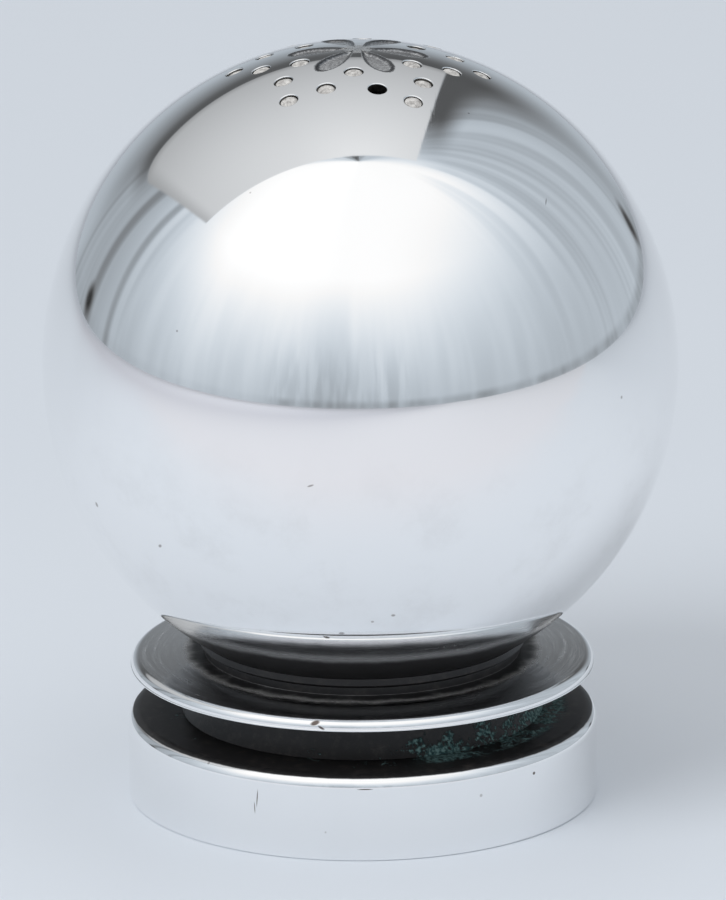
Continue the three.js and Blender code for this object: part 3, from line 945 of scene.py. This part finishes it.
def petal_depth(flat):
    """Depth of the chasing at flat places."""
    best = np.full(len(flat), -1.0)
    for degrees in petal_angles:
        along_axis = flat_place(1.0, degrees)
        across_axis = np.array([-along_axis[1], along_axis[0]])
        best = np.maximum(best, inside_petal(flat @ along_axis / MM, flat @ across_axis / MM) * MM)
    t = np.clip(best / PETAL_SLOPE, 0, 1)
    return PETAL_DEPTH * t * t * (3 - 2 * t)


print("petals are", PETAL_DEPTH / MM, "mm deep")

# %% [markdown]
# Boolean cuts leave slivers that a mirror finish shows at once. The cap is therefore drawn flat first,
# as a net of triangles that already leaves the holes out, and then laid onto the ball. Each hole has
# a few rings that follow its rounded rim. `delaunay_2d_cdt` makes the net.

# %% Draw the pierced cap as a flat net
CAP_ARC = 12.6 * MM
RIM_ROUND = 0.09 * MM
RIM_SIDES = 36
RIM_STEPS = (0, 22.5, 45, 67.5, 90)


def ring(centre, radius, sides):
    """Points of a circle in the flat."""
    angles = np.linspace(0, 2 * math.pi, sides, endpoint=False)
    return centre + radius * np.stack([np.cos(angles), np.sin(angles)], 1)


def grid(radius, spacing, inner=0.0):
    """Points of a triangular grid between two radii."""
    rows = int(radius / spacing) + 2
    i, j = np.meshgrid(np.arange(-rows, rows + 1), np.arange(-rows, rows + 1))
    places = np.stack([(i + 0.5 * (j % 2)) * spacing, j * spacing * math.sqrt(3) / 2], -1).reshape(-1, 2)
    far = np.hypot(places[:, 0], places[:, 1])
    return places[(far < radius) & (far >= inner)]


def hole_distance(flat):
    """Distance of flat places from the middle of the nearest hole, and that hole's number."""
    gaps = np.linalg.norm(flat[:, None] - holes[None], axis=2)
    return gaps.min(1), gaps.argmin(1)


def flat_net(rim_radii, free):
    """Net of triangles inside the cap and outside the holes, from free points and rims."""
    loops = [ring(np.zeros(2), CAP_ARC, ROUND)]
    for centre in holes:
        loops += [ring(centre, r, RIM_SIDES) for r in rim_radii]
    clear = hole_distance(free)[0] > max(rim_radii) + 0.07 * MM
    points = np.concatenate(loops + [free[clear]])
    edges, start = [], 0
    for loop in loops:
        edges += [(start + k, start + (k + 1) % len(loop)) for k in range(len(loop))]
        start += len(loop)
    made = delaunay_2d_cdt([Vector(p) for p in points / MM], edges, [], 0, 1e-6)
    places = np.array([tuple(v) for v in made[0]]) * MM
    triangles = np.array([f for f in made[2] if len(f) == 3])
    middle = places[triangles].mean(1)
    keep = (hole_distance(middle)[0] > min(rim_radii)) & (np.hypot(middle[:, 0], middle[:, 1]) < CAP_ARC)
    return places, triangles[keep]


rim_radii = [HOLE_R + RIM_ROUND * (1 - math.sin(math.radians(a))) for a in RIM_STEPS]
fine = grid(6.2 * MM, 0.13 * MM)
coarse = grid(CAP_ARC - 0.15 * MM, 0.28 * MM, 6.2 * MM)
net, net_faces = flat_net(rim_radii, np.concatenate([fine, coarse]))
print(len(net), "points and", len(net_faces), "triangles in the cap's net")

# %% Lay the net onto the ball
def skin(flat):
    """Points and normals of the outer surface for flat places: ball, chasing and rounded rims."""
    gap, nearest = hole_distance(flat)
    lean = np.clip((HOLE_R + RIM_ROUND - gap) / RIM_ROUND, 0, 1)
    rim_depth = RIM_ROUND * (1 - np.sqrt(np.maximum(0, 1 - lean ** 2)))
    points = on_ball(flat)
    out = ball_normal(points)
    points = points - out * (rim_depth + petal_depth(flat))[:, None]
    nudge = 0.01 * MM
    slopes = []
    for shift in ((nudge, 0), (0, nudge)):
        ahead, back = flat + shift, flat - shift
        places = [on_ball(f) - ball_normal(on_ball(f)) * petal_depth(f)[:, None] for f in (ahead, back)]
        slopes.append(places[0] - places[1])
    normals = np.cross(slopes[0], slopes[1])
    normals /= np.linalg.norm(normals, axis=1)[:, None]
    towards = on_ball(holes)[nearest] - points
    towards -= out * np.sum(towards * out, 1)[:, None]
    towards /= np.maximum(np.linalg.norm(towards, axis=1), 1e-9)[:, None]
    normals = normals * np.sqrt(np.maximum(0, 1 - lean ** 2))[:, None] + towards * lean[:, None]
    return points, normals


cap_points, cap_normals = skin(net)
OUTSIDE, INSIDE = 0, 1
cap_patches = [(cap_points, cap_normals, net_faces.tolist(), OUTSIDE)]

inner_net, inner_faces = flat_net([HOLE_R], grid(CAP_ARC - 0.4 * MM, 0.8 * MM))
inner_points = on_ball(inner_net, WALL)
cap_patches.append((inner_points, -ball_normal(inner_points), inner_faces[:, ::-1].tolist(), INSIDE))
for centre in holes:
    edge = ring(centre, HOLE_R, RIM_SIDES)
    top = skin(edge)[0]
    bottom = on_ball(edge, WALL)
    middle = (top.mean(0) + bottom.mean(0)) / 2
    walls = np.concatenate([top, bottom])
    inwards = middle - walls
    down = (bottom.mean(0) - top.mean(0)) / np.linalg.norm(bottom.mean(0) - top.mean(0))
    inwards -= down * (inwards @ down)[:, None]
    inwards /= np.linalg.norm(inwards, axis=1)[:, None]
    ahead = [(k + 1) % RIM_SIDES for k in range(RIM_SIDES)]
    sides = [(k, ahead[k], RIM_SIDES + ahead[k], RIM_SIDES + k) for k in range(RIM_SIDES)]
    cap_patches.append((walls, inwards, sides, INSIDE))
print(len(cap_patches), "patches in the cap")

# %% [markdown]
# Below the cap the upper half is plain turning down to the seam, then across the edge of the sheet and
# up again inside. The lower half is the same turned the other way, open at the mouth for the collar.

# %% Make both halves of the ball
cap_angle = 90 - math.degrees(CAP_ARC / ball_r)
upper_patches = cap_patches + [
    turn_stretch(ball_outline(0, cap_angle, 84), OUTSIDE),
    turn_stretch(ball_outline(cap_angle, 0, 40, WALL), INSIDE),
    turn_stretch([(ball_r - WALL, ball_z), (ball_r, ball_z)], INSIDE),
]
ball_upper = weld("ball_upper_half", upper_patches, [ball_finish, inside_finish])

neck_angle = -math.degrees(math.acos(neck_r / ball_r))
mouth_r = neck_r - 0.75 * MM
mouth_angle = -math.degrees(math.acos(mouth_r / (ball_r - WALL)))
outer = ball_outline(neck_angle, 0, 80)
inner = ball_outline(0, mouth_angle, 40, WALL)
mouth_z = outer[0][1]
ball_lower = turned_piece("ball_lower_half", [
    (outer, 0), ([(ball_r, ball_z), (ball_r - WALL, ball_z)], 1), (inner, 1),
    *same(line(inner[-1], (mouth_r, mouth_z), (neck_r, mouth_z)), 1)], [ball_finish, inside_finish])

# %% [markdown]
# The flange is a thin plate with a rounded brim, and it rises as a flat cone to the seat that the neck
# comes down to. A fine bead runs along its lower edge with a crease above it, and that gives the dark
# line and the bright line under the white band.

# %% Make the flange
RIM_H = 0.21 * MM
BRIM_W = 0.7 * MM
BRIM_H = 0.68 * MM
SEAT_H = 0.69 * MM
SEAT_STEP = 0.4 * MM
ROUNDING = 0.08 * MM
BEAD_R = 0.09 * MM
CREASE = 0.05 * MM
stem_r = neck_r + 0.5 * MM
stem_bore = stem_r - 1.2 * MM
flange_bore = seal_r + 0.03 * MM
seat_r = neck_r - SEAT_STEP
brim_top = flange_top - SEAT_H
flange_under = brim_top - 0.75 * MM
slope = (brim_top - flange_low - RIM_H - BRIM_H) / (flange_r - seat_r)
angles = np.radians(np.linspace(0, 90, 33))
inwards = CREASE + (BRIM_W - CREASE) * (1 - np.cos(angles))
brim = np.stack([flange_r - inwards, flange_low + RIM_H + BRIM_H * np.sin(angles) + slope * inwards], 1)
cone = np.linspace(brim[-1], (seat_r, brim_top), 70)[1:]
bead = arc((flange_r - BEAD_R, flange_low + BEAD_R), (BEAD_R, BEAD_R), -90, 65, 14)
seat_edge = arc((seat_r - ROUNDING, flange_top - ROUNDING), (ROUNDING, ROUNDING), 0, 90, 6)
flange = turned_piece("flange_plate", [
    *same(line((flange_bore, flange_under), (stem_bore, flange_under), (stem_r, flange_low),
               (flange_r - BEAD_R, flange_low)), 0),
    (bead, 0), *same(line(bead[-1], brim[0]), 0), (np.concatenate([brim, cone]), 0),
    *same(line((seat_r, brim_top), seat_edge[0]), 0), (seat_edge, 0),
    *same(line(seat_edge[-1], (flange_bore, flange_top), (flange_bore, flange_under)), 0)], [foot_finish])

# %% Make the stem
STEM_FLARE = 0.9 * MM
t = np.linspace(0, 1, 24)
waist = np.stack([stem_r + STEM_FLARE * (1 - t) ** 3, stem_low + (stem_top - stem_low) * t], 1)
stem = turned_piece("stem_ring", [
    (line((stem_bore, stem_low), waist[0])[0], 0), (waist, 0),
    *same(line(waist[-1], (stem_bore, stem_top), (stem_bore, stem_low)), 0)], [stem_finish])

# %% Make the foot
SHOULDER_W = 1.0 * MM
SHOULDER_H = 1.0 * MM
STAND_EDGE = 0.15 * MM
STAND_BEVEL = 0.1 * MM
INNER_CORNER = 0.25 * MM
foot_bore = foot_r - WALL
shoulder = arc((foot_r - SHOULDER_W, foot_top - SHOULDER_H), (SHOULDER_W, SHOULDER_H), 0, 90, 24)
stand = arc((foot_r - STAND_EDGE, STAND_EDGE), (STAND_EDGE, STAND_EDGE), -90, 0, 6)
foot = turned_piece("foot_drum", [
    *same(line((foot_bore + STAND_BEVEL, 0), stand[0]), 0), (stand, 0),
    *same(line(stand[-1], shoulder[0]), 0), (shoulder, 0),
    *same(line(shoulder[-1], (stem_bore, foot_top)), 0),
    *same(line((stem_bore, foot_top), (stem_bore, foot_top - WALL),
               (foot_bore - INNER_CORNER, foot_top - WALL),
               (foot_bore, foot_top - WALL - INNER_CORNER), (foot_bore, STAND_BEVEL),
               (foot_bore + STAND_BEVEL, 0)), 1)], [foot_finish, inside_finish])

# %% Make the base plate
EASE = 0.1 * MM
base = turned_piece("base_disc", same(line(
    (0, base_low), (base_r - EASE, base_low), (base_r, base_low + EASE),
    (base_r, base_top), (0, base_top)), 0), [base_finish])

# %% [markdown]
# Screw threads repeat along a helix, which is work for Geometry Nodes: a spiral curve carries a
# four-sided profile, and the radius of the curve shrinks at both ends so that the ridge runs out.

# %% Grow a thread ridge with Geometry Nodes
PITCH = 1.5 * MM


def geometry_tree(name, sizes, on_points=False):
    """Empty Geometry Nodes tree with named sizes and a finish, and its two end nodes."""
    tree = bpy.data.node_groups.new(name, "GeometryNodeTree")
    new_socket = tree.interface.new_socket
    if on_points:
        new_socket("Geometry", in_out="INPUT", socket_type="NodeSocketGeometry")
    for label, value in sizes.items():
        new_socket(label, in_out="INPUT", socket_type="NodeSocketFloat").default_value = value
    new_socket("Finish", in_out="INPUT", socket_type="NodeSocketMaterial")
    new_socket("Geometry", in_out="OUTPUT", socket_type="NodeSocketGeometry")
    return tree, values_of(add(tree, "NodeGroupInput")), add(tree, "NodeGroupOutput")


def thread_tree():
    """Geometry Nodes tree that winds a ridge of a given radius, height and number of turns."""
    tree, given, result = geometry_tree("thread ridge", {
        "Radius": 0.01, "Pitch": 0.001, "Turns": 2.5, "Start": 0.0, "Depth": 0.0005, "Half Root": 0.0004,
        "Half Crest": 0.0002})
    spiral = add(tree, "GeometryNodeCurveSpiral", {
        "Resolution": 96, "Rotations": given["Turns"], "Start Radius": given["Radius"],
        "End Radius": given["Radius"], "Height": given["Turns"] * given["Pitch"]})
    raised = add(tree, "GeometryNodeTransform", {
        "Geometry": spiral.outputs[0], "Translation": combine(0.0, 0.0, given["Start"])})
    upright = add(tree, "GeometryNodeSetCurveNormal", {"Curve": raised.outputs[0]}, mode="Z_UP")
    along = Value(add(tree, "GeometryNodeSplineParameter").outputs["Factor"])
    from_ends = calc("MINIMUM", along, 1.0 - along)
    swell = add(tree, "GeometryNodeSetCurveRadius", {
        "Curve": upright.outputs[0], "Radius": step(from_ends, 0.0, 0.1, 0.15, 1.0)})
    profile = add(tree, "GeometryNodeCurvePrimitiveQuadrilateral", {
        "Height": given["Depth"], "Bottom Width": given["Half Root"] * 2.0,
        "Top Width": given["Half Crest"] * 2.0, "Offset": 0.0}, mode="TRAPEZOID")
    turned_profile = add(tree, "GeometryNodeTransform", {
        "Geometry": profile.outputs[0], "Rotation": (0, 0, math.radians(-90))})
    sweep = add(tree, "GeometryNodeCurveToMesh", {
        "Curve": swell.outputs[0], "Profile Curve": turned_profile.outputs[0], "Fill Caps": True})
    real = add(tree, "GeometryNodeRealizeInstances", {0: sweep.outputs[0]})
    finish = add(tree, "GeometryNodeSetMaterial", {
        "Geometry": real.outputs[0], "Material": given["Finish"]})
    feed(result.inputs["Geometry"], finish.outputs[0])
    return tree


def grow(name, tree, values, seeds=None):
    """Runs a Geometry Nodes tree with named inputs on a mesh and keeps the result as a plain mesh."""
    seed = bpy.data.objects.new(name + "_seed", seeds or bpy.data.meshes.new(name + "_seed"))
    bpy.context.scene.collection.objects.link(seed)
    modifier = seed.modifiers.new("grow", "NODES")
    modifier.node_group = tree
    for item in tree.interface.items_tree:
        if item.in_out == "INPUT" and item.name in values:
            modifier[item.identifier] = values[item.name]
    evaluated = seed.evaluated_get(bpy.context.evaluated_depsgraph_get())
    mesh = bpy.data.meshes.new_from_object(evaluated)
    mesh.name = name
    bpy.data.objects.remove(seed)
    piece = bpy.data.objects.new(name, mesh)
    bpy.context.scene.collection.objects.link(piece)
    print(f"{name}: {len(mesh.polygons)} faces")
    return piece


THREAD_DEPTH = 0.45 * MM
THREAD_SINK = 0.15 * MM
THREAD_TURNS = 2.5
SPIGOT_TIP = 0.25 * MM
THREAD_ROOT = 0.42 * MM
THREAD_CREST = 0.16 * MM
thread_start = spigot_top - SPIGOT_TIP - THREAD_ROOT - THREAD_TURNS * PITCH
ridge = grow("spigot_thread", thread_tree(), {
    "Radius": seal_r + (THREAD_DEPTH - THREAD_SINK) / 2, "Pitch": PITCH, "Turns": THREAD_TURNS,
    "Start": thread_start, "Depth": THREAD_DEPTH + THREAD_SINK, "Half Root": THREAD_ROOT,
    "Half Crest": THREAD_CREST, "Finish": thread_finish})

# %% Make the spigot, the collar and the seal
SOLDER_GAP = 0.03 * MM
TURNED_EDGE = 0.2 * MM
spigot_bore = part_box("cork_seal")[1].x - 0.9 * MM
well = flange_under - SOLDER_GAP
spigot = turned_piece("spigot_tube", same(line(
    (0, spigot_low), (rim_r, spigot_low), (rim_r, well), (seal_r, well), (seal_r, spigot_top - TURNED_EDGE),
    (seal_r - TURNED_EDGE, spigot_top), (spigot_bore + TURNED_EDGE, spigot_top),
    (spigot_bore, spigot_top - TURNED_EDGE), (spigot_bore, well), (0, well)), 0), [thread_finish])

collar_r = neck_r - 0.85 * MM
collar_bore = seal_r + 0.2 * MM
lip_low = collar_top - 0.7 * MM
neck_high = mouth_z - SOLDER_GAP
NECK_EDGE = 0.12 * MM
collar = turned_piece("collar_ring", [
    *same(line((collar_bore + THREAD_DEPTH, neck_low), (neck_r - NECK_EDGE, neck_low),
               (neck_r, neck_low + NECK_EDGE), (neck_r, neck_high), (collar_r, neck_high)), 0),
    *same(line((collar_r, neck_high), (collar_r, collar_top), (spigot_bore, collar_top),
               (spigot_bore, lip_low), (collar_bore, lip_low),
               (collar_bore + THREAD_DEPTH, lip_low - THREAD_DEPTH),
               (collar_bore + THREAD_DEPTH, neck_low)), 1)], [neck_finish, thread_finish])
seal = turned_piece("seal_ring", same(line(
    (spigot_bore, seal_low), (seal_r, seal_low), (seal_r, seal_top), (spigot_bore, seal_top),
    (spigot_bore, seal_low)), 0), [cork_finish])

# %% [markdown]
# All but one of the holes are choked with dried pepper and polish. Geometry Nodes set a lumpy plug on
# a point in each of them, turned and pushed in by a different amount from a fixed seed.

# %% Fill the holes with crust
OPEN_HOLE = 1


def crust_tree():
    """Geometry Nodes tree that sets a lumpy plug on every point, square to its stored direction."""
    tree, given, result = geometry_tree(
        "crust plugs", {"Radius": 0.0007, "Lumps": 0.00008, "Sink": 0.0002}, on_points=True)
    plug = add(tree, "GeometryNodeMeshIcoSphere", {"Radius": given["Radius"], "Subdivisions": 4})
    flatten = add(tree, "GeometryNodeTransform", {"Geometry": plug.outputs[0], "Scale": (1, 1, 0.3)})
    named = add(tree, "GeometryNodeInputNamedAttribute", {"Name": "outward"}, data_type="FLOAT_VECTOR")
    align = add(tree, "FunctionNodeAlignRotationToVector", {"Vector": named.outputs["Attribute"]}, axis="Z")
    sets = add(tree, "GeometryNodeInstanceOnPoints", {
        "Points": given["Geometry"], "Instance": flatten.outputs[0], "Rotation": align.outputs[0]})
    sink = add(tree, "FunctionNodeRandomValue", {2: -1.0, 3: 0.1, "Seed": 11}, data_type="FLOAT")
    down = combine(0.0, 0.0, Value(sink.outputs[1]) * given["Sink"])
    lower = add(tree, "GeometryNodeTranslateInstances", {"Instances": sets.outputs[0], "Translation": down})
    real = add(tree, "GeometryNodeRealizeInstances", {0: lower.outputs[0]})
    rough = noise(Value(add(tree, "GeometryNodeInputPosition").outputs[0]), 1800.0, 3.0)
    push = add(tree, "ShaderNodeVectorMath", {0: add(tree, "GeometryNodeInputNormal").outputs[0],
                                              "Scale": (rough - 0.7) * given["Lumps"]}, operation="SCALE")
    lumpy = add(tree, "GeometryNodeSetPosition", {"Geometry": real.outputs[0], "Offset": push.outputs[0]})
    finish = add(tree, "GeometryNodeSetMaterial", {
        "Geometry": lumpy.outputs[0], "Material": given["Finish"]})
    feed(result.inputs["Geometry"], finish.outputs[0])
    return tree


choked = np.delete(holes, OPEN_HOLE, axis=0)
hole_points = bpy.data.meshes.new("hole_points")
hole_points.from_pydata(on_ball(choked, 0.16 * MM).tolist(), [], [])
outward = hole_points.attributes.new("outward", "FLOAT_VECTOR", "POINT")
outward.data.foreach_set("vector", ball_normal(on_ball(choked)).ravel())
crust = grow("crust", crust_tree(), {"Finish": crust_finish}, hole_points)

# %% [markdown]
# Each row of the table gives a piece, the body that carries it, its record slot and the solids that it
# is made after. Every piece now rides on its body, and those solids are hidden.

# %% Tie the pieces to the frame
TIES = [
    (ball_upper, "ball", "ball_plate", ["ball_upper_shell"]),
    (crust, "ball", "ball_plate", []),
    (ball_lower, "ball", "ball_plate", ["ball_lower_shell"]),
    (collar, "ball", "thread_metal", ["threaded_collar"]),
    (seal, "seal", "cork", ["cork_seal"]),
    (spigot, "foot", "thread_metal", ["threaded_spigot"]),
    (ridge, "foot", "thread_metal", []),
    (flange, "foot", "foot_plate", ["flange"]),
    (stem, "foot", "stem_plate", ["lower_stem"]),
    (foot, "foot", "foot_plate", ["foot_shell"]),
    (base, "foot", "base_metal", ["base_plate"]),
]
for piece, body, slot, nodes in TIES:
    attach(piece, body)
    if nodes:
        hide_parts(*nodes)
print(len(TIES), "pieces tied")
